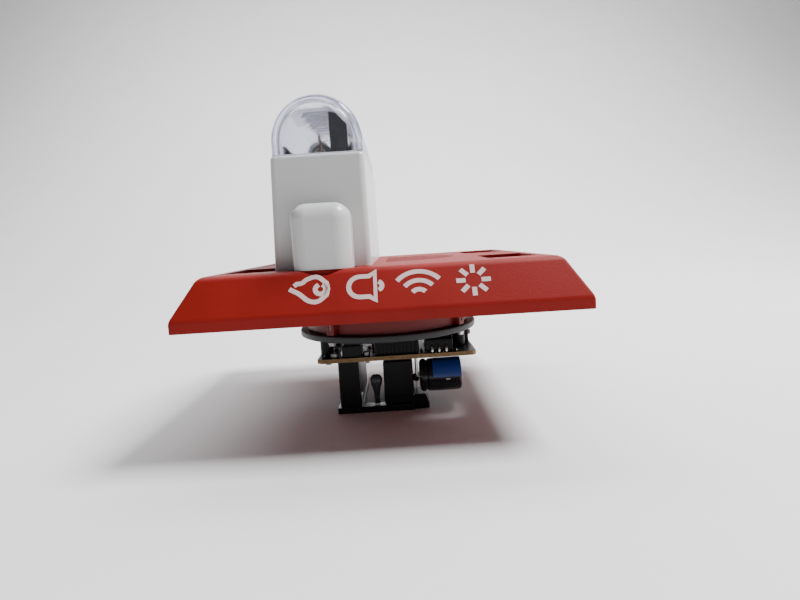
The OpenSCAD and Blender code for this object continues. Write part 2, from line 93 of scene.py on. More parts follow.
def ramp(tree, source, low, high, at=(0.3, 0.7)):
    """Colour between low and high as source goes over the stretch at."""
    made = add_node(tree, "ValToRGB", Fac=source)
    for element, place, colour in zip(made.color_ramp.elements, at, (low, high)):
        element.position = place
        element.color = (*colour, 1.0)
    return made.outputs["Color"]


def vary_rough(tree, shader, source, low, high):
    made = add_node(tree, "MapRange", Value=source, To_Min=low, To_Max=high)
    tree.links.new(made.outputs["Result"], shader.inputs["Roughness"])


def bump(tree, shader, source, depth_mm):
    made = add_node(tree, "Bump", Height=source, Strength=1.0, Distance=depth_mm * MM)
    tree.links.new(made.outputs["Normal"], shader.inputs["Normal"])


def blend(tree, shader, source, colour, down, up):
    """Base colour that goes a share down and a share up from the colour."""
    low, high = [tuple(min(1.0, c * factor) for c in colour) for factor in (1 - down, 1 + up)]
    tree.links.new(ramp(tree, source, low, high), shader.inputs["Base Color"])


def plastic(name, colour, rough, grain_mm, grain_depth, vary, patch_mm, specular=0.5):
    """Moulded plastic: a fine grain in relief, and slow patches of colour and gloss."""
    made, tree, shader = new_material(name, Specular_IOR_Level=specular)
    patches = noise(tree, patch_mm, 4.0)
    blend(tree, shader, patches, colour, vary, vary)
    vary_rough(tree, shader, patches, *rough)
    bump(tree, shader, noise(tree, grain_mm, 2.0), grain_depth)
    return made


def metal(name, colour, rough=(0.18, 0.35), brushed=(1.0, 1.0, 1.0), scratch_mm=0.4, depth=0.006):
    """Metal with fine marks, drawn out along the axes where brushed is small."""
    made, tree, shader = new_material(name, Metallic=1.0)
    place = add_node(tree, "TexCoord").outputs["Object"]
    stretch = add_node(tree, "Mapping", Vector=place, Scale=brushed).outputs["Vector"]
    marks = add_node(tree, "TexNoise", Vector=stretch, Scale=1.0 / (scratch_mm * MM), Detail=4.0)
    blend(tree, shader, marks.outputs["Fac"], colour, 0.1, 0.05)
    vary_rough(tree, shader, marks.outputs["Fac"], *rough)
    bump(tree, shader, marks.outputs["Fac"], depth)
    return made


def clear(name, colour, edge, ior, edge_power, rough, thin):
    """Clear moulding with the edge colour at a grazing angle. A share, thin, passes straight through."""
    made, tree, shader = new_material(name, Transmission_Weight=1.0, IOR=ior)
    facing = add_node(tree, "LayerWeight", Blend=0.5)
    power = add_node(tree, "Math", operation="POWER", Value=facing.outputs["Facing"])
    power.inputs[1].default_value = edge_power
    tint = ramp(tree, power.outputs[0], colour, edge, (0.0, 1.0))
    tree.links.new(tint, shader.inputs["Base Color"])
    vary_rough(tree, shader, noise(tree, 6.0), rough * 0.5, rough * 1.5)
    passing = add_node(tree, "BsdfTransparent", Color=tint)
    path = add_node(tree, "LightPath")
    share = add_node(tree, "Math", operation="MAXIMUM", Value=path.outputs["Is Shadow Ray"])
    share.inputs[1].default_value = thin
    mix = add_node(tree, "MixShader", Fac=share.outputs[0])
    tree.links.new(shader.outputs["BSDF"], mix.inputs[1])
    tree.links.new(passing.outputs["BSDF"], mix.inputs[2])
    tree.links.new(mix.outputs["Shader"], tree.nodes["Material Output"].inputs["Surface"])
    return made


def board_mask(name, mask, trace):
    """Solder mask with tracks under it: thin lighter lines on a grid, broken up by noise."""
    made, tree, shader = new_material(name, Specular_IOR_Level=0.25)
    place = add_node(tree, "TexCoord").outputs["Object"]
    black, white = (0.0, 0.0, 0.0, 1.0), (1.0, 1.0, 1.0, 1.0)
    tracks = add_node(tree, "TexBrick", Vector=place, Scale=420.0, Mortar_Size=0.035,
                      Mortar_Smooth=0.0, Color1=black, Color2=black, Mortar=white)
    gate = noise(tree, 5.0, 1.0)
    keep = add_node(tree, "Math", operation="GREATER_THAN", Value=gate)
    keep.inputs[1].default_value = 0.48
    both = add_node(tree, "Math", operation="MULTIPLY", Value=tracks.outputs["Fac"])
    tree.links.new(keep.outputs[0], both.inputs[1])
    tree.links.new(ramp(tree, both.outputs[0], mask, trace, (0.1, 0.9)), shader.inputs["Base Color"])
    bump(tree, shader, both.outputs[0], 0.03)
    vary_rough(tree, shader, gate, 0.22, 0.4)
    return made


RED = plastic("red_moulding", (0.25, 0.0115, 0.009), (0.45, 0.55), 0.42, 0.05, 0.07, 20.0, 0.15)
DARK_RED = plastic("red_barrel_moulding", (0.13, 0.007, 0.006), (0.42, 0.5), 0.4, 0.03, 0.06, 12.0, 0.3)
WHITE = plastic("white_moulding", (0.665, 0.675, 0.665), (0.2, 0.3), 0.8, 0.004, 0.015, 30.0)
MARK = plastic("mark_print", (0.72, 0.55, 0.55), (0.35, 0.5), 0.3, 0.01, 0.04, 4.0)
GREY = plastic("grey_moulding", (0.029, 0.031, 0.033), (0.4, 0.55), 0.3, 0.02, 0.08, 9.0, 0.3)
BLACK = plastic("black_moulding", (0.006, 0.0062, 0.007), (0.35, 0.5), 0.3, 0.015, 0.2, 6.0, 0.14)
BLACK_GLOSS = plastic("black_gloss", (0.008, 0.0085, 0.01), (0.16, 0.26), 0.5, 0.004, 0.2, 6.0, 0.3)
CHARCOAL = plastic("charcoal_moulding", (0.03, 0.032, 0.035), (0.3, 0.45), 0.8, 0.08, 0.2, 1.5)
SMOKE = plastic("smoke_holder", (0.05, 0.052, 0.056), (0.25, 0.35), 0.4, 0.006, 0.1, 3.0)
BROWN = plastic("brown_moulding", (0.18, 0.07, 0.03), (0.35, 0.5), 0.25, 0.01, 0.1, 1.5)
TAN = plastic("tan_ceramic", (0.30, 0.21, 0.10), (0.35, 0.5), 0.2, 0.01, 0.12, 1.2)
SEAL = plastic("pale_seal", (0.62, 0.62, 0.6), (0.4, 0.55), 0.4, 0.01, 0.04, 4.0)
RUBBER = plastic("black_rubber", (0.02, 0.02, 0.02), (0.6, 0.75), 0.3, 0.02, 0.15, 4.0)
BLUE = plastic("blue_band", (0.011, 0.045, 0.25), (0.35, 0.45), 0.6, 0.004, 0.07, 3.0)
PALE_PRINT = plastic("pale_print", (0.5, 0.52, 0.5), (0.35, 0.5), 0.3, 0.004, 0.05, 1.0)
RESIN = plastic("dipped_resin", (0.035, 0.042, 0.05), (0.16, 0.28), 0.9, 0.05, 0.15, 1.6)
LAMINATE = plastic("board_edge", (0.20, 0.115, 0.035), (0.5, 0.65), 0.15, 0.03, 0.25, 0.9)
WIRE_SLEEVE = plastic("dark_sleeve", (0.02, 0.02, 0.022), (0.35, 0.5), 0.5, 0.01, 0.1, 4.0)
RED_SLEEVE = plastic("red_sleeve", (0.35, 0.02, 0.02), (0.35, 0.5), 0.5, 0.01, 0.1, 4.0)
STEEL = metal("plated_steel", (0.55, 0.55, 0.54))
TIN = metal("tinned_wire", (0.62, 0.61, 0.58), (0.22, 0.4))
SOLDER = metal("solder", (0.66, 0.66, 0.68), (0.14, 0.3), scratch_mm=0.7, depth=0.03)
TARNISH = metal("electrode_wire", (0.16, 0.12, 0.10), (0.3, 0.5))
BRASS = metal("brass", (0.62, 0.44, 0.17), (0.2, 0.35))
COPPER = metal("copper_winding", (0.55, 0.2, 0.07), (0.25, 0.4), (1.0, 1.0, 6.0), 0.5, 0.05)
SPUN = metal("spun_aluminium", (0.62, 0.62, 0.61), (0.25, 0.4), scratch_mm=0.3, depth=0.01)
IRON = metal("soft_iron", (0.25, 0.25, 0.25), (0.4, 0.6))
MIRROR = metal("metallised", (0.86, 0.855, 0.88), (0.03, 0.09), scratch_mm=3.0, depth=0.008)
LENS = clear("clear_lens", (0.985, 0.985, 0.99), (0.30, 0.33, 0.62), 1.46, 1.9, 0.02, 0.25)
# painted shade: a dark grey tint for the step faces of the clear lens's ribs, drawing the dark lines that
# refraction makes at the steps
LENS_STEP_SHADE = clear("lens_rib_step_painted_shade", (0.24, 0.25, 0.28), (0.2, 0.2, 0.25), 1.46, 2.0, 0.1, 0.15)
GLASS = clear("tube_glass", (0.95, 0.96, 0.97), (0.6, 0.64, 0.68), 1.47, 2.0, 0.02, 0.3)
MASK = board_mask("solder_mask", (0.008, 0.014, 0.010), (0.022, 0.036, 0.024))
BLACK_MASK = board_mask("black_mask", (0.006, 0.0065, 0.008), (0.016, 0.018, 0.02))


# ---- mesh tools


def transformed(part, matrix):
    bmesh.ops.transform(part, matrix=matrix, verts=part.verts)
    return part


def joined(parts):
    """One bmesh of several, each a bmesh with the first material, or a pair (bmesh, material index)."""
    whole = bmesh.new()
    for item in parts:
        part, index = item if isinstance(item, tuple) else (item, 0)
        for face in part.faces:
            face.material_index = index
        mesh = bpy.data.meshes.new("join")
        part.to_mesh(mesh)
        part.free()
        whole.from_mesh(mesh)
        bpy.data.meshes.remove(mesh)
    return whole


def round_edges(part, edges, radius, steps):
    bmesh.ops.bevel(part, geom=edges, offset=radius, offset_type="OFFSET", segments=steps, profile=0.5,
                    affect="EDGES", clamp_overlap=True)


def is_upright(a, b):
    """Whether an edge between two points runs up and down."""
    return abs(a.z - b.z) > 1.0


def block(low, high, radius=0.0, steps=2, pick=None):
    """A box with rounded edges. pick says which edges are rounded, from an edge's two ends."""
    part = bmesh.new()
    bmesh.ops.create_cube(part, size=1.0)
    low, high = Vector(low), Vector(high)
    for vert in part.verts:
        vert.co = Vector((low[i] + (vert.co[i] + 0.5) * (high[i] - low[i]) for i in range(3)))
    if radius > 0:
        edges = [e for e in part.edges if pick is None or pick(*[v.co for v in e.verts])]
        round_edges(part, edges, radius, steps)
    return part


def lathe(profile, origin=(0, 0, 0), axis="Z", steps=64, closed=False, start=0.0, turn=360.0):
    """A solid of revolution. profile is a list of (radius, height) along the axis."""
    part = bmesh.new()
    full = abs(turn) >= 359.9
    count = steps if full else steps + 1
    rings = []
    for i in range(count):
        angle = math.radians(start + turn * i / steps)
        rings.append([part.verts.new((r * math.cos(angle), r * math.sin(angle), h)) for r, h in profile])
    last = len(profile) if closed else len(profile) - 1
    for i in range(count if full else count - 1):
        one, two = rings[i], rings[(i + 1) % count]
        for k in range(last):
            m = (k + 1) % len(profile)
            part.faces.new((one[k], two[k], two[m], one[m]))
    if not full:
        for ring in (rings[0], rings[-1]):
            part.faces.new(ring)
    bmesh.ops.remove_doubles(part, verts=part.verts, dist=1e-5)
    bmesh.ops.dissolve_degenerate(part, dist=1e-5, edges=part.edges)
    turned = {"Z": Matrix.Identity(4), "Y": Matrix.Rotation(math.radians(-90), 4, "X"),
              "X": Matrix.Rotation(math.radians(90), 4, "Y")}[axis]
    transformed(part, Matrix.Translation(Vector(origin)) @ turned)
    bmesh.ops.recalc_face_normals(part, faces=part.faces)
    return part


def rod(start, end, radius, soft=0.15, steps=24):
    """A round bar between two points, with softened ends."""
    start, end = Vector(start), Vector(end)
    run = (end - start).length
    soft = min(soft, radius * 0.9, run * 0.4)
    part = lathe([(0, 0), (radius - soft, 0), (radius, soft), (radius, run - soft), (radius - soft, run),
                  (0, run)], steps=steps)
    turned = (end - start).to_track_quat("Z", "Y").to_matrix().to_4x4()
    return transformed(part, Matrix.Translation(start) @ turned)


def tube_along(points, radius, sides=12):
    """A wire along points, with parallel rings."""
    part = bmesh.new()
    points = [Vector(p) for p in points]
    normal = None
    rings = []
    for i, point in enumerate(points):
        ahead = (points[min(i + 1, len(points) - 1)] - points[max(i - 1, 0)]).normalized()
        if normal is None:
            normal = ahead.orthogonal().normalized()
        normal = (normal - ahead * normal.dot(ahead)).normalized()
        side = ahead.cross(normal)
        rings.append([part.verts.new(point + radius * (math.cos(a) * normal + math.sin(a) * side))
                      for a in (2 * math.pi * k / sides for k in range(sides))])
    for one, two in zip(rings, rings[1:]):
        for k in range(sides):
            part.faces.new((one[k], one[(k + 1) % sides], two[(k + 1) % sides], two[k]))
    part.faces.new(rings[0][::-1])
    part.faces.new(rings[-1])
    bmesh.ops.recalc_face_normals(part, faces=part.faces)
    return part


def smooth_path(points, steps=8):
    """Points of a Catmull-Rom curve through the given ones."""
    points = [Vector(p) for p in points]
    padded = [points[0] * 2 - points[1], *points, points[-1] * 2 - points[-2]]
    out = []
    for a, b, c, d in zip(padded, padded[1:], padded[2:], padded[3:]):
        for i in range(steps):
            t = i / steps
            out.append(0.5 * (2 * b + (c - a) * t + (2 * a - 5 * b + 4 * c - d) * t * t
                              + (3 * b - a - 3 * c + d) * t ** 3))
    return out + [points[-1]]


def prism(outline, low, high, axis="Y"):
    """A straight prism along Y or Z, of an outline given in the two other axes."""
    part = bmesh.new()
    one, two = [[part.verts.new((a, level, b) if axis == "Y" else (a, b, level)) for a, b in outline]
                for level in (low, high)]
    part.faces.new(one)
    part.faces.new(two[::-1])
    for i in range(len(outline)):
        k = (i + 1) % len(outline)
        part.faces.new((one[i], one[k], two[k], two[i]))
    bmesh.ops.recalc_face_normals(part, faces=part.faces)
    return part


def softened(part, radius):
    """The same bmesh with every edge sharper than 30 degrees rounded."""
    edges = [e for e in part.edges if len(e.link_faces) == 2 and e.calc_face_angle(0) > math.radians(30)]
    round_edges(part, edges, radius, 2)
    return part


def as_object(name, part):
    mesh = bpy.data.meshes.new(name)
    part.to_mesh(mesh)
    part.free()
    made = bpy.data.objects.new(name, mesh)
    bpy.context.scene.collection.objects.link(made)
    return made


def cut(target, cutter, operation="DIFFERENCE"):
    """The boolean of two bmeshes, as a bmesh. Both are in millimetres."""
    one, two = as_object("cut_target", target), as_object("cut_tool", cutter)
    tool = one.modifiers.new("cut", "BOOLEAN")
    tool.object, tool.operation, tool.solver = two, operation, "EXACT"
    evaluated = one.evaluated_get(bpy.context.evaluated_depsgraph_get())
    result = bmesh.new()
    result.from_mesh(evaluated.to_mesh())
    evaluated.to_mesh_clear()
    for gone in (one, two):
        mesh = gone.data
        bpy.data.objects.remove(gone)
        bpy.data.meshes.remove(mesh)
    bmesh.ops.dissolve_degenerate(result, dist=1e-4, edges=result.edges)
    return result


def piece(name, part, materials, replaces=(), body=ROOT, sharp=40.0, edge=0.0):
    """Finishes a bmesh in millimetres, or a list for joined, as a visible piece that rides on a CAD body."""
    made = as_object(name, joined(part) if isinstance(part, list) else part)
    made.data.transform(Matrix.Scale(MM, 4))
    for material in materials if isinstance(materials, (list, tuple)) else [materials]:
        made.data.materials.append(material)
    made.data.shade_smooth()
    made.data.set_sharp_from_angle(angle=math.radians(sharp))
    if edge > 0:
        rounding = made.modifiers.new("edge", "BEVEL")
        rounding.width, rounding.segments, rounding.limit_method = edge * MM, 2, "ANGLE"
        rounding.angle_limit = math.radians(sharp + 5)
        rounding.harden_normals = True
    weighted = made.modifiers.new("normals", "WEIGHTED_NORMAL")
    weighted.keep_sharp = True
    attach(made, body)
    if replaces:
        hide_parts(*replaces)


def repaint(node, material):
    """A CAD node keeps its shape and gets a finished material."""
    for entry in nodes[node].material_slots:
        entry.material = material


# ---- shared sizes

COVER_HIGH = node_box("cover")[1]
HALF = COVER_HIGH.x
FACE_Z = COVER_HIGH.z
LIP_Z = 3.6
BEVEL_RUN = 7.4
SIDE_T = 2.2
FACE_T = 2.5
SLOPE = math.atan2(FACE_Z - LIP_Z, BEVEL_RUN)
POCKET_X, POCKET_Y = 43.35, 31.0
POCKET_W, POCKET_L = 16.3, 27.0
POCKET_WALL = 1.6
SCREW_X, SCREW_Y = 41.65, 23.0
TOWER_MID = -18.4
TOWER_X = -19.0
TOWER_TOP = node_box("strobe_housing")[1].z
BUMP_X = -17.85
BUMP_TOP = 36.8
BUMP_END = 55.0
LENS_LOW, LENS_HIGH = node_box("strobe_lens")
LENS_R = (LENS_HIGH.x - LENS_LOW.x) / 2
LENS_MID_Z = LENS_HIGH.z - LENS_R
LENS_WALL = 2.0
RIBS = (2.6, 8.0, 13.4, 18.8, 24.2, 29.6)
RIB_W = 2.8
RIB_TALL = 0.9
ARCH_STEPS = 40
TUBE_Z = (node_box("flash_tube")[0].z + node_box("flash_tube")[1].z) / 2
PLATE_LOW, PLATE_HIGH = node_box("horn_back_plate")
BOARD_LOW, BOARD_HIGH = node_box("main_board")
BOARD_TOP = BOARD_HIGH.z
BOARD_UNDER = BOARD_LOW.z
FLOOR_Z = node_box("wiring_board")[0].z
POLE_X = -15.7
POLE_Y = (-13.4, -3.8, 5.8, 15.4)
DIODE_X, DIODE_Y = 10.05, -12.0


def corners(x, y):
    return [(sx * x, sy * y) for sx in (-1, 1) for sy in (-1, 1)]


def ring_of_four(part, x, y, z, mid_x=0.0):
    """Four vertices of a level rectangle, going round."""
    return [part.verts.new((mid_x + sx * x, sy * y, z)) for sx, sy in ((-1, -1), (1, -1), (1, 1), (-1, 1))]


# ---- cover


def frustum(half_low, half_high, z_low, z_mid, z_high):
    """A square block with upright sides to z_mid, then sloping in to z_high."""
    part = bmesh.new()
    levels = [ring_of_four(part, half, half, z)
              for half, z in ((half_low, z_low), (half_low, z_mid), (half_high, z_high))]
    for one, two in zip(levels, levels[1:]):
        for i in range(4):
            part.faces.new((one[i], one[(i + 1) % 4], two[(i + 1) % 4], two[i]))
    part.faces.new(levels[0][::-1])
    part.faces.new(levels[-1])
    bmesh.ops.recalc_face_normals(part, faces=part.faces)
    return part


def make_cover():
    blank = frustum(HALF, HALF - BEVEL_RUN, 0.0, LIP_Z, FACE_Z)
    face_edges = [e for e in blank.edges if min(v.co.z for v in e.verts) > FACE_Z - 0.01]
    round_edges(blank, face_edges, 1.7, 6)
    other_edges = [e for e in blank.edges if e.calc_face_angle(0) > math.radians(25)
                   and max(v.co.z for v in e.verts) > LIP_Z - 0.01]
    round_edges(blank, other_edges, 0.8, 5)
    side_run = SIDE_T / math.sin(SLOPE)
    under = FACE_Z - FACE_T
    inner_top = HALF - BEVEL_RUN * (under - LIP_Z) / (FACE_Z - LIP_Z) - side_run
    shell = cut(blank, frustum(HALF - SIDE_T, inner_top, -2.0, LIP_Z - 0.6, under))

    half_w, half_l = POCKET_W / 2, POCKET_L / 2
    wall_w, wall_l = half_w + POCKET_WALL, half_l + POCKET_WALL
    wells = joined([block((x - wall_w, y - wall_l, 0.6), (x + wall_w, y + wall_l, under + 1.0))
                    for x, y in corners(POCKET_X, POCKET_Y)])
    shell = cut(shell, wells, "UNION")
    pockets = joined([block((x - half_w, y - half_l, 2.6), (x + half_w, y + half_l, 20.0), 1.2, 5, is_upright)
                      for x, y in corners(POCKET_X, POCKET_Y)])
    shell = cut(shell, pockets)

    holes = [block((x - 4.0, y - 2.3, -1.0), (x + 4.0, y + 2.3, 5.0), 2.25, 8, is_upright)
             for x, y in corners(SCREW_X, SCREW_Y)]
    grille_r, grille_pitch = 28.5, 3.2
    for i in range(15):
        y = (i - 7) * grille_pitch
        reach = math.sqrt(grille_r ** 2 - y * y)
        holes.append(block((1.0, y - 0.65, under - 1), (reach, y + 0.65, FACE_Z + 2), 0.6, 4, is_upright))
    for s in (-1, 1):
        seat = lathe([(0, 14.3), (10.2, 14.3), (11.0, 20), (0, 20)], (BUMP_X, s * 47.0, 0), steps=96)
        near, far = sorted((s * 20.0, s * BUMP_END))
        holes.append(cut(seat, block((BUMP_X - 9.4, near, 10.0), (BUMP_X + 9.4, far, 22.0))))
    shell = cut(shell, joined(holes))
    piece("cover_shell", shell, RED, ["cover"], edge=0.22)


def bevel_point(u, v, lift):
    """A point on the cover's front slope: u along X, v up the slope from the lip, lift off the surface."""
    return Vector((u, -HALF + v * math.cos(SLOPE) - lift * math.sin(SLOPE), LIP_Z + v * math.sin(SLOPE)
                   + lift * math.cos(SLOPE)))


def stroke(points, width, closed=False):
    """A flat ribbon of even width along points in (u, v), as two rows of points."""
    points = [Vector(p) for p in points]
    count = len(points)
    rows = []
    for i, point in enumerate(points):
        before = points[(i - 1) % count] if closed or i > 0 else point
        after = points[(i + 1) % count] if closed or i < count - 1 else point
        one = (point - before).normalized() if point != before else (after - point).normalized()
        two = (after - point).normalized() if after != point else one
        ahead = (one + two).normalized()
        side = Vector((-ahead.y, ahead.x))
        stretch = min(1.6, 1.0 / max(0.3, side.dot(Vector((-one.y, one.x)))))
        rows.append((point + side * width / 2 * stretch, point - side * width / 2 * stretch))
    return rows


def print_on_slope(strokes, centre, width):
    """Raised print on the front slope, 0.04 mm thick. The mark's own up is towards -X."""
    part = bmesh.new()
    for points, closed in strokes:
        rows = stroke(points, width, closed)
        low, high = [[[part.verts.new(bevel_point(centre[0] - p.y, centre[1] + p.x, lift)) for p in row]
                      for row in rows] for lift in (0.02, 0.06)]
        count = len(rows)
        for i in range(count if closed else count - 1):
            k = (i + 1) % count
            part.faces.new((high[i][0], high[k][0], high[k][1], high[i][1]))
            part.faces.new((low[i][1], low[k][1], low[k][0], low[i][0]))
            part.faces.new((low[i][0], low[k][0], high[k][0], high[i][0]))
            part.faces.new((high[i][1], high[k][1], low[k][1], low[i][1]))
        if not closed:
            for i in (0, count - 1):
                part.faces.new((low[i][0], low[i][1], high[i][1], high[i][0]))
    bmesh.ops.recalc_face_normals(part, faces=part.faces)
    return part


def arc(cx, cy, r, a0, a1, steps):
    """Points on an arc from a0 to a1 degrees."""
    return [(cx + r * math.cos(math.radians(a0 + (a1 - a0) * i / steps)),
             cy + r * math.sin(math.radians(a0 + (a1 - a0) * i / steps))) for i in range(steps + 1)]


def make_marks():
    """Four plain line pictograms: a flame, a bell, sound waves and a flash of light."""
    left = smooth_path([(0.6, 6.0, 0), (-1.2, 3.0, 0), (-3.6, 0.2, 0), (-4.0, -2.6, 0), (-2.0, -5.2, 0)], 5)
    right = smooth_path([(2.0, -5.2, 0), (4.2, -2.4, 0), (3.6, 0.6, 0), (2.4, 2.2, 0), (2.2, 3.8, 0)], 5)
    outline = [*left, (0.0, -5.6), *right, (1.5, 4.6)]
    flame = [([(p[0], p[1]) for p in outline], False), (arc(0.0, -3.4, 1.6, 20, 340, 12), False)]
    dome = [(-4.6, -3.4), (-3.4, -1.6), *arc(0.0, 1.2, 3.4, 180, 0, 12), (3.4, -1.6), (4.6, -3.4)]
    bell = [(dome, True), (arc(0.0, -3.9, 1.5, 200, 340, 8), False)]
    waves = [(arc(-4.6, 0.0, r, -48, 48, 12), False) for r in (2.6, 5.6, 8.6)]
    rays = [([(math.cos(a) * 2.4, math.sin(a) * 2.4), (math.cos(a) * 5.2, math.sin(a) * 5.2)], False)
            for a in (math.radians(45 * k) for k in range(8))]
    up_slope, line_w = 8.0, 1.45
    parts = [print_on_slope(mark, (u, up_slope), line_w)
             for mark, u in ((flame, -21.5), (bell, -5.0), (waves, 11.4), (rays, 28.0))]
    piece("front_marks", parts, MARK, sharp=30.0)


# ---- light tower


def make_tower():
    shell = bmesh.new()
    low = ring_of_four(shell, 16.0, 43.75, FACE_Z, TOWER_X)
    high = ring_of_four(shell, 15.3, 43.2, TOWER_TOP, TOWER_MID)
    shell.faces.new(low[::-1])
    shell.faces.new(high)
    for i in range(4):
        shell.faces.new((low[i], low[(i + 1) % 4], high[(i + 1) % 4], high[i]))
    round_edges(shell, [e for e in shell.edges if is_upright(*[v.co for v in e.verts])], 2.0, 7)
    rim = [e for e in shell.edges if min(v.co.z for v in e.verts) > TOWER_TOP - 0.01]
    round_edges(shell, rim, 1.15, 6)

    def outer_edge(a, b):
        """Whether a bump's edge is rounded: not at its foot, nor inside the tower's wall."""
        at_foot = max(a.z, b.z) < FACE_Z + 0.01
        in_wall = max(abs(a.y), abs(b.y)) < BUMP_END - 1 and is_upright(a, b)
        return not (at_foot or in_wall)

    bumps = []
    for s in (-1, 1):
        near, far = sorted((s * 38.0, s * BUMP_END))
        low, high = (BUMP_X - 9.45, near, FACE_Z), (BUMP_X + 9.45, far, BUMP_TOP)
        bumps.append(block(low, high, 5.2, 12, outer_edge))
    shell = cut(shell, joined(bumps), "UNION")
    room = block((TOWER_X - 13.6, -41.4, FACE_Z - 1), (TOWER_X + 13.8, 41.4, TOWER_TOP - 3.5), 0.8)
    shell = cut(shell, room)
    mouth = block((TOWER_MID - 12.9, -41.0, TOWER_TOP - 1.5), (TOWER_MID + 12.9, 41.0, TOWER_TOP + 2), 0.5, 3,
                  is_upright)
    shell = cut(shell, mouth)
    neck = block((TOWER_MID - 11.1, -39.2, TOWER_TOP - 5), (TOWER_MID + 11.1, 39.2, TOWER_TOP))
    shell = cut(shell, neck)
    piece("light_tower", shell, WHITE, ["strobe_housing"], sharp=32.0, edge=0.3)


def arch_ring(radius, y):
    """Points round the arch from the left foot over the top to the right foot."""
    points = [(TOWER_MID - radius, y, LENS_LOW.z)]
    for i in range(ARCH_STEPS + 1):
        a = math.pi - math.pi * i / ARCH_STEPS
        points.append((TOWER_MID + radius * math.cos(a), y, LENS_MID_Z + radius * math.sin(a)))
    points.append((TOWER_MID + radius, y, LENS_LOW.z))
    return [Vector(p) for p in points]


def rib_height(y):
    """How far a prism rib stands out at a place along the tower, from 0 to 1."""
    for at in RIBS:
        d = abs(y) - at
        if 0 <= d <= RIB_W:
            return 1 - d / RIB_W
    return 0.0


def lens_stations(half, round_r):
    """Places along the tower where a lens skin has a ring, each with how far the ring is drawn in."""
    ends = [(-half + round_r * (1 - math.sin(a)), round_r * (1 - math.cos(a)))
            for a in (math.radians(90 - 90 * i / 8) for i in range(9))]
    places = {0.0}
    for at in RIBS:
        for y in (at - 0.15, at, at + RIB_W * 0.33, at + RIB_W * 0.66, at + RIB_W):
            places |= {y, -y}
    places |= {(-half + round_r) * (1 - i / 7) for i in range(1, 14)}
    middle = [(y, 0.0) for y in sorted(places) if abs(y) < half - round_r - 0.1]
    return ends + middle + [(-y, inset) for y, inset in reversed(ends)]


def lens_skin(radius, half, round_r, ribs=False):
    """One skin of the lens: rings along Y, drawn in at both ends, closed by two flat ends."""
    right_from, right_full = 22, 26
    step_from, step_to = 13, 37
    stations = lens_stations(half, round_r)
    skin = bmesh.new()
    rings = []
    for y, inset in stations:
        points = arch_ring(radius - inset, y)
        if ribs:
            # prism ribs: flat across the top, and following the arch down the right side
            tall = RIB_TALL * rib_height(y)
            for k, p in enumerate(points):
                share = max(0.0, min(1.0, (k - right_from) / (right_full - right_from)))
                out = (p - Vector((TOWER_MID, y, LENS_MID_Z))).normalized()
                p -= out * tall * share
                p.z = min(p.z, LENS_MID_Z + radius - RIB_TALL - tall)
        rings.append([skin.verts.new(p) for p in points])
    for one, two, here, there in zip(rings, rings[1:], stations, stations[1:]):
        # step faces across the top of the arch take the second material, painted shade: a dark grey tint that
        # draws the rib lines
        step = ribs and abs(rib_height(here[0]) - rib_height(there[0])) > 0.9
        for k in range(len(one) - 1):
            face = skin.faces.new((one[k], one[k + 1], two[k + 1], two[k]))
            face.material_index = 1 if step and step_from <= k <= step_to else 0
    skin.faces.new(rings[0])
    skin.faces.new(rings[-1][::-1])
    return skin


def make_lens():
    outer = lens_skin(LENS_R, LENS_HIGH.y, 3.0)
    inner = lens_skin(LENS_R - LENS_WALL, LENS_HIGH.y - LENS_WALL, 1.6, ribs=True)
    for face in inner.faces:
        face.normal_flip()
    indices = [face.material_index for face in inner.faces]
    whole = joined([outer, inner])
    for face, index in zip(list(whole.faces)[-len(indices):], indices):
        face.material_index = index
    open_edges = [e for e in whole.edges if len(e.link_faces) == 1]
    bmesh.ops.bridge_loops(whole, edges=open_edges)
    bmesh.ops.recalc_face_normals(whole, faces=whole.faces)
    # the second material is painted shade on the rib steps of the clear lens
    piece("lens_dome", whole, [LENS, LENS_STEP_SHADE], ["strobe_lens"], sharp=32.0)


def make_reflector():
    """A trough of parabolic section along the tube, with upturned wings at its ends."""
    focus, half_w, half_l, skin = 4.35, 10.8, 36.8, 0.9
    steps = 40
    floor_z, top_z = TUBE_Z - focus, TOWER_TOP - 1.5
    xs = [half_w * (2 * i / steps - 1) for i in range(steps + 1)]
    over = [(x, floor_z + x * x / (4 * focus)) for x in xs]
    rim = over[0][1]
    under = [(half_w + skin, rim), (half_w + skin, top_z), (half_w, top_z)]
    under += [(x, z - skin) for x, z in reversed(over)]
    under += [(-half_w, top_z), (-half_w - skin, top_z), (-half_w - skin, rim)]
    trough = prism([(TOWER_MID + x, z) for x, z in over + under], -half_l, half_l)
    flange = block((TOWER_MID - 12.6, -40.7, top_z), (TOWER_MID + 12.6, 40.7, TOWER_TOP - 0.7), 0.2)
    opening = block((TOWER_MID - half_w, -half_l, TOWER_TOP - 3), (TOWER_MID + half_w, half_l, TOWER_TOP))
    piece("reflector_trough", [trough, cut(flange, opening)], MIRROR,
          ["strobe_reflector"], sharp=30.0)


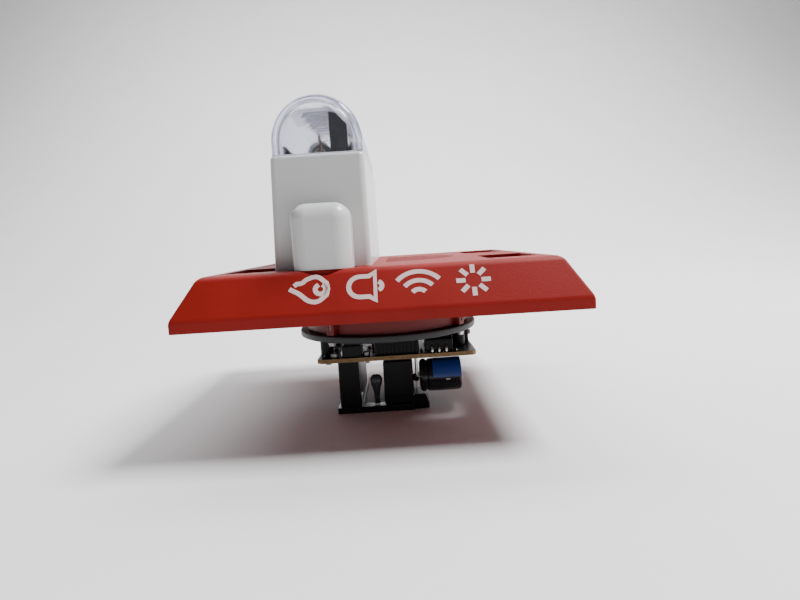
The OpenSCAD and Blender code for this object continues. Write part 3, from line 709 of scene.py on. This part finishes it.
def make_flash_tube():
    half, r, bore = 30.0, 1.8, 1.1
    outer = [(0.6, -half), (1.2, -half + 0.1), (r, -half + 1.2),
             (r, half - 1.2), (1.2, half - 0.1), (0.6, half)]
    inner = [(1.0, half - 1.0), (bore, half - 2.0), (bore, -half + 2.0), (1.0, -half + 1.0)]
    glass = lathe(outer + inner, (TOWER_MID, 0, TUBE_Z), "Y", 40, closed=True)
    piece("flash_tube_glass", glass, GLASS, ["flash_tube"])
    ends, holders, leads = [], [], []
    cap_profile = [(0, 0), (1.7, 0), (2.1, 0.3), (2.1, 2.3), (1.9, 2.6), (1.9, 3.0), (0, 3.0)]
    holder_profile = [(2.1, 0), (3.9, 0), (4.2, 0.3), (4.2, 1.1), (3.9, 1.4), (2.1, 1.4)]
    for s in (-1, 1):
        cap = lathe(cap_profile, (0, 0, 0), "Y", 40)
        if s < 0:
            transformed(cap, Matrix.Rotation(math.pi, 4, "Z"))
        ends.append(transformed(cap, Matrix.Translation((TOWER_MID, s * half, TUBE_Z))))
        ends.append(rod((TOWER_MID, s * 25.0, TUBE_Z), (TOWER_MID, s * half, TUBE_Z), 0.7))
        holders.append(lathe(holder_profile, (TOWER_MID, s * 31.5 - 0.7, TUBE_Z), "Y", 56, closed=True))
        path = smooth_path([(TOWER_MID, s * 33.0, TUBE_Z), (TOWER_MID, s * 34.0, TUBE_Z - 0.2),
                            (TOWER_MID, s * 34.5, TUBE_Z - 1.4), (TOWER_MID, s * 34.5, 52.0),
                            (TOWER_MID, s * 34.5, 46.0)], 6)
        leads.append(tube_along(path, 0.5, 14))
    piece("tube_end_caps", ends, STEEL, ["tube_caps"])
    turns, per_turn, coil_r = 7, 24, 2.1
    coil = [(TOWER_MID + coil_r * math.cos(2 * math.pi * t / per_turn), -20 + 40 * t / (turns * per_turn),
             TUBE_Z + coil_r * math.sin(2 * math.pi * t / per_turn)) for t in range(turns * per_turn + 1)]
    piece("trigger_winding", tube_along(coil, 0.2, 8), TIN, ["trigger_wire"], sharp=60.0)
    piece("tube_cradles", holders, SMOKE, ["tube_holders"])
    tag_x, tag_y = TOWER_MID + 0.4, -34.5
    leads.append(rod((tag_x, tag_y, TUBE_Z - 1.5), (tag_x, tag_y, 60.2), 0.5, 0.2))
    leads.append(rod((tag_x, tag_y, 57.4), (tag_x, tag_y, 59.0), 0.6, 0.15))
    piece("tube_end_leads", leads, TARNISH, ["tube_leads"], sharp=60.0)


def make_baffle():
    outline = [(4.2, TOWER_TOP - 0.7), (10.1, TOWER_TOP - 0.7), (10.1, 62.6), (6.5, 66.6), (4.2, 67.0)]
    plate = softened(prism([(TOWER_MID + x, z) for x, z in outline], -38.2, -37.2), 0.15)
    piece("dark_baffle", plate, CHARCOAL, ["light_baffle"])


# ---- horn


def make_barrel():
    low, high = node_box("horn_barrel")
    ring = lathe([(30.0, high.z), (30.0, 3.5), (28.5, 3.5), (28.5, low.z + 0.3), (28.8, low.z), (32.3, low.z),
                  (32.5, low.z + 0.2), (32.5, high.z)], steps=144, closed=True)
    parts = [ring]
    for a in (54, 144, 234, 324):
        rib = block((31.5, -1.8, low.z), (34.9, 1.8, 1.5), 0.4, 3)
        slit = block((33.0, -0.35, low.z + 1.5), (35.2, 0.35, 0.5), 0.1)
        parts.append(transformed(cut(rib, slit), Matrix.Rotation(math.radians(a), 4, "Z")))
    piece("horn_barrel_shell", parts, DARK_RED, ["horn_barrel"], sharp=35.0)


def make_back_plate():
    z0, z1, r = PLATE_LOW.z, PLATE_HIGH.z, PLATE_HIGH.x
    disc = lathe([(0, z1), (r - 0.5, z1), (r - 0.15, z1 - 0.15), (r, z1 - 0.5), (r, z0 + 0.6),
                  (r - 0.2, z0 + 0.2), (r - 0.6, z0), (30.5, z0), (30.0, z0 + 0.35), (24.0, z0 + 0.35),
                  (23.5, z0), (0, z0)], steps=160)
    holes = joined([rod((x, -14.0, z0 - 1), (x, -14.0, z1 + 1), 0.9) for x in (-6.0, 6.0)])
    piece("horn_plate_disc", cut(disc, holes), GREY, ["horn_back_plate"], sharp=35.0)


# ---- main board and its top side


def solder_cone(x, y, z, radius=0.9, up=True, height=0.7):
    s = 1 if up else -1
    profile = [(radius, 0), (radius * 0.75, 0.12 * s), (radius * 0.45, 0.3 * s), (radius * 0.3, height * s),
               (0, (height + 0.15) * s)]
    return lathe(profile, (x, y, z), steps=16)


def make_main_board():
    x0, x1, y1 = BOARD_LOW.x, BOARD_HIGH.x, BOARD_HIGH.y
    c = 1.4
    outline = [(x0 + c, -y1), (x1 - c, -y1), (x1, -y1 + c), (x1, y1 - c),
               (x1 - c, y1), (x0 + c, y1), (x0, y1 - c), (x0, -y1 + c)]
    slab = prism(outline, BOARD_UNDER, BOARD_TOP, "Z")
    for face in slab.faces:
        face.material_index = 0 if abs(face.normal.z) > 0.5 else 1
    piece("main_board_slab", slab, [MASK, LAMINATE], ["main_board"], sharp=30.0, edge=0.08)
    over = [(-24 + 3.3 * i, 22.5) for i in range(14)] + [(-24, -20 + 5 * i) for i in range(8)]
    over += [(-8.6, -20.5), (-8.6, -17.0), (12.4, -21.6), (12.4, -18.2), (24.6, -4.0), (25.4, -22.0)]
    under = [(-13.0, y) for y in POLE_Y] + [(10.3, -20.5), (10.3, -15.5), (DIODE_X, DIODE_Y)]
    under += [(-9.2, -17 + 5.5 * i) for i in range(6)]
    under += [(18 + 3.4 * (i % 4), -6 + 5 * (i // 4)) for i in range(20)]
    pads = [solder_cone(x, y, BOARD_TOP, 0.8) for x, y in over]
    pads += [solder_cone(x, y, BOARD_UNDER, 0.85, up=False) for x, y in under]
    piece("solder_joints", pads, SOLDER, sharp=50.0)


def chip(low, high, pins):
    """A moulded chip with gull-wing legs along its two long sides. Returns body parts and leg parts."""
    low, high = Vector(low), Vector(high)
    dimple = lathe([(0, 0.02), (0.45, 0.02), (0.45, -0.08), (0, -0.08)], (low.x + 1.1, low.y + 1.0, high.z),
                   steps=16)
    body = [block(low + Vector((0, 0, 0.1)), high, 0.25), dimple]
    legs = []
    pitch = 1.27
    start = low.x + (high.x - low.x - (pins - 1) * pitch) / 2
    leg_z = low.z + (high.z - low.z) * 0.55
    for i in range(pins):
        x = start + i * pitch
        for s, y in ((-1, low.y), (1, high.y)):
            points = [(x, y, leg_z), (x, y + s * 0.35, leg_z), (x, y + s * 0.55, low.z + 0.12),
                      (x, y + s * 1.1, low.z + 0.1)]
            legs.append(tube_along(points, 0.17, 6))
    return body, legs


def small_chip_part(x, y, z, size, turn=0.0):
    """A ceramic chip part of a given length, width and height: a body and two tinned ends."""
    length, width, height = size
    end_t = 0.25
    turned = Matrix.Translation((x, y, z)) @ Matrix.Rotation(turn, 4, "Z")
    body = block((-length * 0.3, -width / 2, 0.05), (length * 0.3, width / 2, height), 0.08)
    body = transformed(body, turned)
    ends = []
    for near, far in ((-length / 2, -length / 2 + end_t), (length / 2 - end_t, length / 2)):
        end = block((near, -width / 2, 0), (far, width / 2, height), 0.06)
        ends.append(transformed(end, turned))
    return body, ends


def make_control_chip():
    body, legs = chip((2.0, 2.0, BOARD_TOP), (12.0, 8.0, BOARD_TOP + 1.9), 7)
    piece("control_chip_body", body + [(leg, 1) for leg in legs], [BLACK, TIN],
          ["control_chip"])


def make_trigger_coil():
    low, high = node_box("trigger_transformer")
    parts = [block(low, high - Vector((0, 0, 1.0)), 0.4, 3),
             block(low + Vector((0.9, 0.9, 3.0)), high - Vector((0.9, 0.9, 0)), 0.4, 3)]
    x = low.x - 0.5
    for y in (low.y + 2, low.y + 5, low.y + 8):
        parts.append((rod((x, y, low.z), (x, y, low.z + 2.2), 0.3), 1))
    piece("trigger_coil_can", parts, [BLACK, TIN], ["trigger_transformer"])


def make_board_header():
    low, high = node_box("board_header")
    parts = [block((low.x, low.y + 0.8, low.z), high, 0.25)]
    for i in range(11):
        x = low.x + 0.9 + i * 1.47
        slot_end = (x + 0.25, high.y - 0.8, high.z + 0.05)
        parts.append(block((x - 0.32, low.y, low.z), (x + 0.32, low.y + 1.1, high.z - 0.3), 0.12))
        parts.append((rod((x, low.y + 0.35, low.z), (x, low.y + 0.35, low.z + 1.3), 0.22), 1))
        parts.append((block((x - 0.25, low.y + 2.0, high.z - 0.1), slot_end, 0.05), 1))
    piece("board_header_body", parts, [BLACK, TIN], ["board_header"])


def make_transistor():
    z = BOARD_TOP
    parts = [block((13.8, -22.8, z + 0.4), (24.2, -14.0, z + 4.8), 0.45, 3)]
    tab = block((13.8, -14.2, z + 0.4), (24.2, -7.4, z + 1.7), 0.2)
    tab = cut(tab, rod((19.0, -10.4, z), (19.0, -10.4, z + 3), 1.8, 0.0, 32))
    parts.append((tab, 1))
    for x in (16.4, 19.0, 21.6):
        bends = [(x, -22.6, z + 2.2), (x, -23.4, z + 2.2), (x, -24.0, z + 1.4), (x, -24.1, z + 0.1)]
        parts.append((tube_along(smooth_path(bends, 4), 0.42, 10), 1))
        parts.append((solder_cone(x, -24.0, z, 1.1, height=0.9), 2))
    piece("switching_transistor_body", parts, [BLACK, STEEL, SOLDER],
          ["switching_transistor"])


def make_lead_connector():
    low, high = node_box("lead_connector")
    y = low.y - 0.5
    parts = [block(low, high, 0.3)]
    for x in (low.x + 1.4, high.x - 1.4):
        parts.append((rod((x, y, low.z), (x, y, low.z + 1.6), 0.35), 1))
    piece("lead_connector_body", parts, [BLACK, TIN], ["lead_connector"])


def make_selector():
    low, high = node_box("selector_body")
    window = block((30.4, -2.3, low.z + 1.5), (33.0, 4.7, low.z + 3.9), 0.2)
    parts = [cut(block(low, high, 0.3), window)]
    x = low.x - 0.4
    for i in range(5):
        y = low.y + 1.2 + 2 * i
        parts.append((rod((x, y, low.z), (x, y, low.z + 1.8), 0.28), 1))
    piece("selector_body_case", parts, [BLACK, TIN], ["selector_body"])
    low, high = node_box("selector_slider")
    parts = [block(low, (high.x - 0.6, high.y, high.z), 0.12)]
    for i in range(3):
        y = low.y + 0.3 + i * 0.8
        parts.append(block((high.x - 0.9, y, low.z + 0.05), (high.x, y + 0.45, high.z - 0.05), 0.12))
    piece("selector_knob", parts, BROWN, ["selector_slider"], body="selector_slider")


def make_chip_parts():
    middle, small, large = (2.0, 1.2, 0.8), (1.6, 0.9, 0.6), (2.4, 1.6, 1.1)
    made = [small_chip_part(-21 + 4.4 * i, -7.4 + 5 * (i % 3), BOARD_TOP, middle) for i in range(6)]
    made += [small_chip_part(-4 + 3.1 * (i % 5), -14 + 3.4 * (i // 5), BOARD_TOP, small, i % 2 * math.pi / 2)
             for i in range(15)]
    made += [small_chip_part(-20 + 7 * i, 23.4, BOARD_UNDER - middle[2], middle) for i in range(6)]
    made += [small_chip_part(x, y, BOARD_UNDER - large[2], large) for x, y in ((-22.6, -21.6), (-8.0, -22.6))]
    parts = [body for body, ends in made] + [(end, 1) for body, ends in made for end in ends]
    piece("chip_parts", parts, [TAN, TIN], ["small_parts"])


def make_eyelets():
    rings = []
    for x, y, r in ((-20.2, -21.6, 1.5), (-8.2, -22.0, 1.3)):
        profile = [(r, 0), (r, 1.4), (r - 0.2, 1.6), (r - 0.5, 1.6), (r - 0.6, 1.4), (r - 0.6, 0)]
        rings.append(lathe(profile, (x, y, BOARD_TOP), steps=32, closed=True))
    piece("eyelets", rings, IRON)


def make_strobe_leads():
    """Two sleeved wires from the board, round the barrel and up into the light tower."""
    r, rise_x = 37.6, -17.0
    parts = []
    for i in (0, 1):
        z, y = 6.6 + 1.8 * i, 32.4 + 2 * i
        start, last = 37 - 2.6 * i, 112 - 2 * i
        first = start + 4
        foot = (r * math.cos(math.radians(start)), r * math.sin(math.radians(start)))
        points = [(*foot, BOARD_TOP + 5.0), (*foot, -6.0), (*foot, z - 3.0)]
        points += [(*around, z) for around in arc(0, 0, r, first, last, 8)]
        points += [(rise_x, y, 12.6 - i), (rise_x, y, FACE_Z + 6), (rise_x, y, 40.0)]
        parts.append(tube_along(smooth_path(points, 6), 0.62, 14))
    piece("strobe_lead_pair", parts, WIRE_SLEEVE, ["strobe_leads"], sharp=60.0)


# ---- under the board


def make_capacitor():
    low, high = node_box("strobe_capacitor")
    y, z, r = (low.y + high.y) / 2, (low.z + high.z) / 2, (high.z - low.z) / 2
    run = high.x - low.x
    profile = [(0, 0.35), (2.4, 0.35), (2.6, 0.1), (r - 1.6, 0.1), (r - 1.3, 0.0), (r - 0.5, 0.25),
               (r - 0.1, 0.9), (r, 1.3), (r - 0.05, 2.1), (r - 0.55, 2.6), (r - 0.55, 2.9), (r - 0.05, 3.3),
               (r, 3.8), (r, run - 1.4)]
    profile += [(r - 1.4 + 1.4 * math.cos(a), run - 1.4 + 1.4 * math.sin(a))
                for a in (math.radians(15 * k) for k in range(1, 7))]
    profile += [(r - 1.8, run), (r - 2.0, run - 0.25), (0, run - 0.25)]
    can = lathe(profile, (low.x, y, z), "X", 96)
    piece("capacitor_can", can, BLACK_GLOSS, ["strobe_capacitor"], sharp=45.0)

    # the band and its dash lie on the side that faces -Y
    turned = Matrix.Translation((low.x, y, z)) @ Matrix.Rotation(math.radians(150), 4, "X") \
        @ Matrix.Rotation(math.radians(90), 4, "Y")
    parts = []
    marks = ((0, 4.9, 15.5, 0.0, 118.0, 40), (1, 9.6, 11.2, 123.5, 5.0, 6))
    for index, near, far, start, turn, steps in marks:
        sheet = [(r + 0.01, near), (r + 0.05, near), (r + 0.05, far), (r + 0.01, far)]
        strip = lathe(sheet, steps=steps, closed=True, start=start, turn=turn)
        parts.append((transformed(strip, turned), index))
    piece("capacitor_band", parts, [BLUE, PALE_PRINT], ["capacitor_label"], sharp=50.0)

    bend_x = low.x - 1.0
    leads = []
    for lead_y in (y - 2.5, y + 2.5):
        path = smooth_path([(low.x + 0.4, lead_y, z), (low.x - 0.4, lead_y, z), (bend_x, lead_y, z + 0.9),
                            (bend_x, lead_y, z + 3.0), (bend_x, lead_y, BOARD_UNDER)], 6)
        leads.append(tube_along(path, 0.35, 12))
    piece("capacitor_wires", leads, TIN, ["capacitor_leads"], sharp=60.0)


def make_potted_transformer():
    low, high = node_box("potted_transformer")
    body = block(low, high, 0.6, 3)
    lid = block((low.x + 0.7, low.y + 0.7, high.z - 0.2), (high.x - 0.7, high.y - 0.7, high.z + 0.9), 0.4, 3)
    groove = block((low.x - 0.2, low.y - 0.5, low.z + 3.2), (high.x + 0.2, high.y + 0.5, low.z + 3.6))
    core = block((low.x + 0.4, low.y + 0.4, low.z + 3.0), (high.x - 0.4, high.y - 0.4, low.z + 3.8))
    piece("potted_transformer_case", [cut(body, groove), lid, core], BLACK,
          ["potted_transformer"])


def make_dipped_capacitor():
    x, y = -5.5, -17.8
    profile = [(0, -34.4), (0.8, -34.35), (1.15, -34.0), (1.3, -33.2), (1.7, -31.6), (2.2, -30.2),
               (2.3, -29.2), (2.15, -28.2), (1.7, -27.3), (1.0, -26.9), (0, -26.8)]
    parts = [lathe(profile, (x, y, 0), steps=40)]
    for lead_x in (x - 0.55, x + 0.55):
        parts.append((rod((lead_x, y, -38.6), (lead_x, y, -34.2), 0.28), 1))
        parts.append(rod((lead_x, y, -38.4), (lead_x, y, -34.0), 0.55))
    piece("dipped_capacitor_drop", parts, [RESIN, TIN], ["dipped_capacitor"],
          sharp=60.0)


def make_upright_diode():
    place = (DIODE_X, DIODE_Y, 0)
    profile = [(0, -31.8), (0.9, -31.8), (1.2, -31.5), (1.2, -29.3), (0.9, -29.0), (0, -29.0)]
    ring = [(1.19, -29.6), (1.2, -29.6), (1.2, -30.0), (1.19, -30.0)]
    foot_z = node_box("link_header")[1].z
    parts = [lathe(profile, place, steps=32),
             (rod((DIODE_X, DIODE_Y, foot_z), (DIODE_X, DIODE_Y, BOARD_UNDER), 0.34), 1),
             (lathe(ring, place, steps=32, closed=True), 2)]
    piece("upright_diode_body", parts, [BLACK, TIN, PALE_PRINT], ["upright_diode"],
          sharp=50.0)


def make_wiring_board():
    """The lower board: two strips along Y, joined at the front."""
    low, high = node_box("wiring_board")
    outline = [(-20.6, -20.6), (8.9, -20.6), (8.9, 14.4), (-2.6, 14.4), (-2.6, -15.5), (-10.9, -15.5),
               (-10.9, 22.6), (-20.6, 22.6)]
    slab = softened(prism(outline, low.z, high.z, "Z"), 0.2)
    holes = joined([rod((POLE_X, y, low.z - 1), (POLE_X, y, high.z + 1), 1.9, 0.0, 40) for y in POLE_Y])
    piece("wiring_board_slab", cut(slab, holes), BLACK_MASK, ["wiring_board"])


def make_link_header():
    low, high = node_box("link_header")
    outline = [(low.x, low.z), (high.x, low.z), (high.x, -38.8), (high.x - 1.2, high.z), (low.x, high.z)]
    parts = [softened(prism(outline, low.y, high.y), 0.25)]
    x = low.x + 2.4
    for y in (low.y + 2.0, low.y + 4.6):
        parts.append((rod((x, y, high.z - 0.3), (x, y, high.z), 0.5), 1))
    piece("link_header_body", parts, [BLACK, TIN], ["link_header"])


def make_terminal_block():
    low, high = node_box("terminal_block")
    cuts = []
    for y in POLE_Y:
        cuts.append(rod((POLE_X, y, low.z - 1), (POLE_X, y, low.z + 2.6), 2.45, 0.0, 40))
        cuts.append(block((-18.5, y - 3.0, low.z + 2.4), (-12.9, y + 3.0, -25.5)))
        cuts.append(block((low.x - 1, y - 2.3, -31.4), (POLE_X, y + 2.3, -26.6), 0.3))
        cuts.append(block((POLE_X, y - 1.7, -31.3), (-12.1, y + 1.7, -30.1)))
        cuts.append(block((-13.0, y - 1.75, -31.2), (-12.1, y + 1.75, high.z + 1)))
    body = cut(block(low, high, 0.35, 3), joined(cuts))
    seams = joined([block((low.x - 0.2, y - 0.2, low.z + 1), (low.x + 0.35, y + 0.2, high.z - 1))
                    for y in (-8.6, 1.0, 10.6)])
    clip = [(block((high.x - 0.1, -17.0, -35.6), (high.x + 0.5, -13.0, -34.8), 0.15), 1),
            (block((high.x - 0.1, -15.6, -38.0), (high.x + 0.35, -14.4, -35.2), 0.1), 1)]
    piece("terminal_block_case", [cut(body, seams), *clip], [BLACK, TIN],
          ["terminal_block"])


# ---- stage, lights and camera


def make_stage():
    """A pale paper sweep: floor in front, rising in a wide curve behind."""
    z0, start, r = FLOOR_Z * MM, 0.30, 1.3
    profile = [(-1.5, z0), (start, z0)]
    profile += [(start + r * math.sin(a), z0 + r * (1 - math.cos(a))) for a in
                (math.radians(3 * k) for k in range(1, 31))]
    part = bmesh.new()
    rows = [[part.verts.new((x, y, z)) for x in (-3.0, 3.0)] for y, z in profile]
    for one, two in zip(rows, rows[1:]):
        part.faces.new((one[0], one[1], two[1], two[0]))
    sweep = as_object("paper_sweep", part)
    made, tree, shader = new_material("paper", Roughness=0.75, Specular_IOR_Level=0.2)
    shades = ramp(tree, noise(tree, 60.0), (0.855, 0.85, 0.855), (0.875, 0.87, 0.875))
    tree.links.new(shades, shader.inputs["Base Color"])
    sweep.data.materials.append(made)
    sweep.data.shade_smooth()


def area_light(name, place, target, size, power):
    data = bpy.data.lights.new(name, "AREA")
    data.shape, data.size, data.size_y, data.energy = "RECTANGLE", *size, power
    made = bpy.data.objects.new(name, data)
    made.location = place
    made.rotation_euler = (Vector(target) - Vector(place)).to_track_quat("-Z", "Y").to_euler()
    bpy.context.scene.collection.objects.link(made)


def make_lights():
    world = bpy.data.worlds.new("studio")
    bpy.context.scene.world = world
    world.use_nodes = True
    back = world.node_tree.nodes["Background"]
    back.inputs["Color"].default_value = (0.93, 0.94, 0.97, 1.0)
    back.inputs["Strength"].default_value = 0.135
    area_light("key_above", (0.48, -0.02, 0.80), (0, 0.0, 0), (0.36, 0.26), 17.6)
    area_light("back_soft", (0.0, 0.65, 1.0), (0, 0.95, 0.0), (1.7, 0.6), 22.5)


def make_camera():
    """The photograph's view: 6.3 degrees down, and rolled 3.6 degrees."""
    pitch, roll = 0.1098, 0.0624
    right = Vector((1, 0, 0))
    up = Vector((0, math.sin(pitch), math.cos(pitch)))
    ahead = Vector((0, math.cos(pitch), -math.sin(pitch)))
    data = bpy.data.cameras.new("view")
    data.sensor_width = 36.0
    data.lens = 24.44
    data.clip_start, data.clip_end = 0.01, 20.0
    made = bpy.data.objects.new("view", data)
    bpy.context.scene.collection.objects.link(made)
    across = right * math.cos(roll) - up * math.sin(roll)
    above = up * math.cos(roll) + right * math.sin(roll)
    turned = Matrix((across, above, -ahead)).transposed().to_4x4()
    made.matrix_world = Matrix.Translation(Vector((5.56, -222.18, 23.70)) * MM) @ turned
    bpy.context.scene.camera = made


for make in (
    make_camera, make_lights, make_stage, make_cover, make_marks, make_tower, make_lens, make_reflector,
    make_flash_tube, make_baffle, make_barrel, make_back_plate, make_main_board, make_control_chip,
    make_trigger_coil, make_board_header, make_transistor, make_lead_connector, make_selector,
    make_chip_parts, make_eyelets, make_strobe_leads, make_capacitor, make_potted_transformer,
    make_dipped_capacitor, make_upright_diode, make_wiring_board, make_link_header, make_terminal_block,
):
    make()

for node, material in (
    ("housing_screws", STEEL), ("plate_screws", STEEL), ("board_screws", STEEL), ("board_standoffs", BLACK),
    ("lens_gasket", SEAL), ("diaphragm_surround", RUBBER), ("horn_diaphragm", SPUN), ("horn_core", IRON),
    ("horn_bobbin", BLACK), ("horn_coil", COPPER), ("horn_leads", RED_SLEEVE), ("transformer_pins", TIN),
    ("current_bars", BRASS),
    *[(f"terminal_screw_{i}", STEEL) for i in range(1, 5)],
    *[(f"clamp_cage_{i}", STEEL) for i in range(1, 5)],
):
    repaint(node, material)
